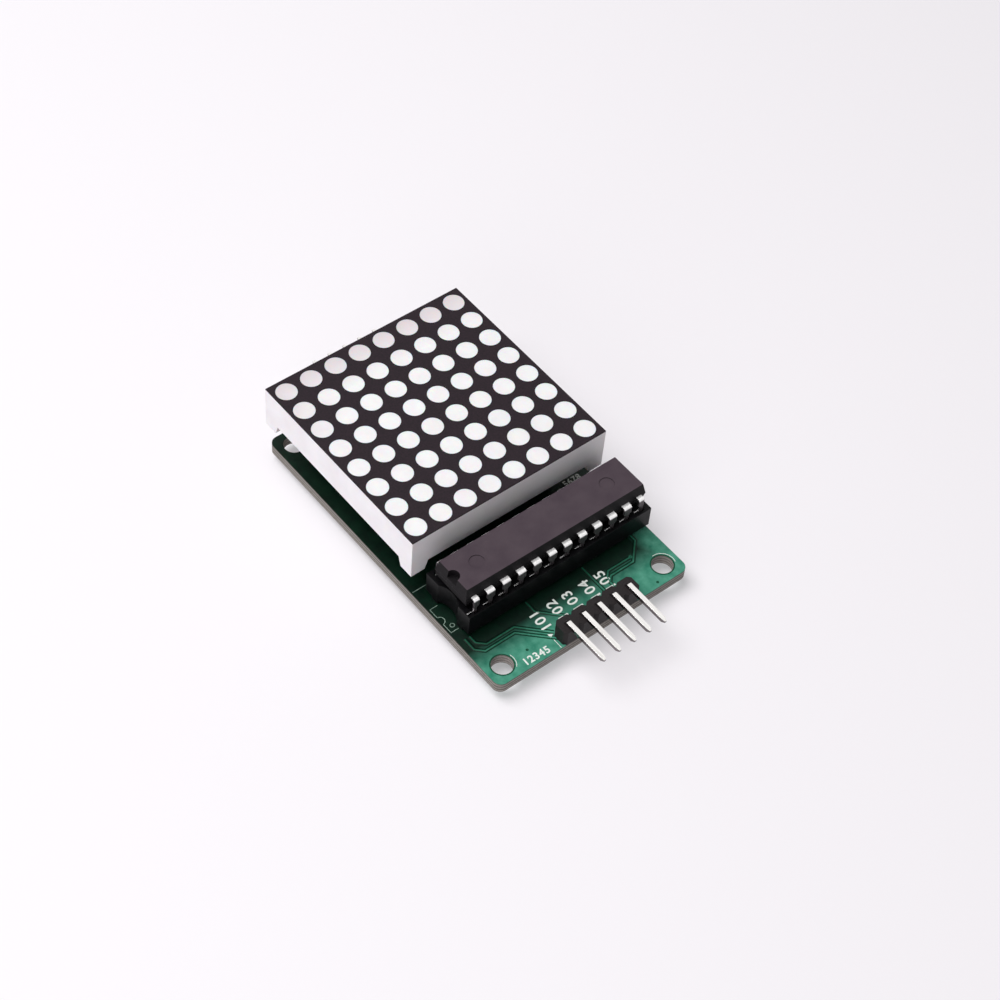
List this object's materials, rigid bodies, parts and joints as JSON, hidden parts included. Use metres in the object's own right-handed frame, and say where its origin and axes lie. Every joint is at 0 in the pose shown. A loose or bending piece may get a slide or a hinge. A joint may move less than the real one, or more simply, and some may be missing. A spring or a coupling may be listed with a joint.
{
  "type": "led dot matrix display module",
  "caption": "Square dot matrix display plugged into a small circuit board, with a socketed driver chip beside it and a right-angle pin header at each end.",
  "frame": {"origin": "centre of the rectangle of four mounting holes, on the circuit board's underside", "axes": "+Z out of the display's face, -Y towards the input header that lies in front of the chip, +X to the right seen from the input header"},
  "size_m": [0.0322, 0.0622, 0.0133],
  "materials": {
    "board_laminate": "green solder mask over glass-fibre laminate",
    "white_plastic": "fine satin moulding",
    "black_film": "satin printed film",
    "milky_resin": "smooth milky resin",
    "led_crystal": "clean crystal",
    "bare_laminate": "bare glass-fibre laminate",
    "potting_resin": "cast resin",
    "tinned_metal": "bright tin plating",
    "gilt_metal": "thin gold plating",
    "black_plastic": "satin moulding",
    "chip_epoxy": "fine matt moulding",
    "blue_lacquer": "glossy lacquer",
    "orange_lacquer": "glossy dip coat",
    "dark_sleeve": "aluminium can in a shrunk sleeve",
    "black_rubber": "matt rubber",
    "solder": "bright solder"
  },
  "bodies": {
    "root": {"circuit_board": "board_laminate", "display_shell": "white_plastic", "face_film": "black_film", "dot_row_1": "milky_resin", "dot_row_2": "milky_resin", "dot_row_3": "milky_resin", "dot_row_4": "milky_resin", "dot_row_5": "milky_resin", "dot_row_6": "milky_resin", "dot_row_7": "milky_resin", "dot_row_8": "milky_resin", "led_dies": "led_crystal", "matrix_board": "bare_laminate", "back_fill": "potting_resin", "display_pins_front": "tinned_metal", "display_pins_rear": "tinned_metal", "display_socket_front": "black_plastic", "display_socket_rear": "black_plastic", "display_contacts_front": "gilt_metal", "display_contacts_rear": "gilt_metal", "chip_socket": "black_plastic", "chip_contacts_front": "tinned_metal", "chip_contacts_rear": "tinned_metal", "driver_chip": "chip_epoxy", "chip_leads_front": "tinned_metal", "chip_leads_rear": "tinned_metal", "input_header": "black_plastic", "input_pin_1": "tinned_metal", "input_pin_2": "tinned_metal", "input_pin_3": "tinned_metal", "input_pin_4": "tinned_metal", "input_pin_5": "tinned_metal", "output_header": "black_plastic", "output_pin_1": "tinned_metal", "output_pin_2": "tinned_metal", "output_pin_3": "tinned_metal", "output_pin_4": "tinned_metal", "output_pin_5": "tinned_metal", "resistor_body": "blue_lacquer", "resistor_leads": "tinned_metal", "ceramic_capacitor": "orange_lacquer", "ceramic_leads": "tinned_metal", "capacitor_can": "dark_sleeve", "capacitor_bung": "black_rubber", "capacitor_leads": "tinned_metal", "chip_solder": "solder", "display_solder": "solder", "input_solder": "solder", "output_solder": "solder", "part_solder": "solder"}
  },
  "joints": []
}
